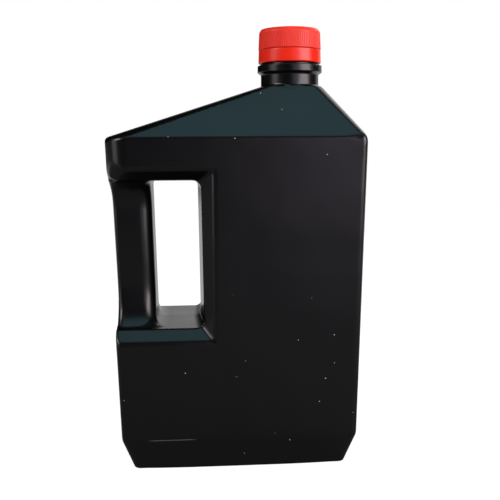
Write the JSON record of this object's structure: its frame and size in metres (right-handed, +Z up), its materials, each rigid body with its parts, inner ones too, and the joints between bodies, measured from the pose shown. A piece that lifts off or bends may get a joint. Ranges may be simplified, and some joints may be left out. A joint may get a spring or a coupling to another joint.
{
  "type": "engine oil bottle",
  "caption": "Black blow-moulded oil bottle with an off-centre neck, hipped shoulder, through handle in a bevelled recess, and a red ribbed screw cap with a tamper band.",
  "frame": {"origin": "middle of the body's width and depth at the shoulder, on the surface that the bottle stands on", "axes": "+Z up along the neck, +X towards the neck side and away from the handle, -Y the front that the picture shows"},
  "size_m": [0.1862, 0.1078, 0.3216],
  "materials": {
    "bottle": "satin black blow-moulded polyethylene",
    "cap": "satin red injection-moulded polypropylene",
    "liner": "matt foamed polyethylene"
  },
  "bodies": {
    "bottle": {"bottle": "bottle", "tamper_band": "cap"},
    "liner": {"cap_liner": "liner"},
    "cap": {"cap": "cap"}
  },
  "joints": [
    {"name": "cap_lift", "type": "slide", "parent": "bottle", "child": "liner", "axis": [0, 0, 1], "range_m": [0, 0.015]},
    {"name": "cap_twist", "type": "hinge", "parent": "liner", "child": "cap", "pos_m": [0.04315, 0, 0.3185], "axis": [0, 0, 1], "range_deg": [0, 1080]}
  ],
  "couplings": [
    {"joint": "cap_lift", "follows": "cap_twist", "m_per_rad": 0.00079577}
  ]
}
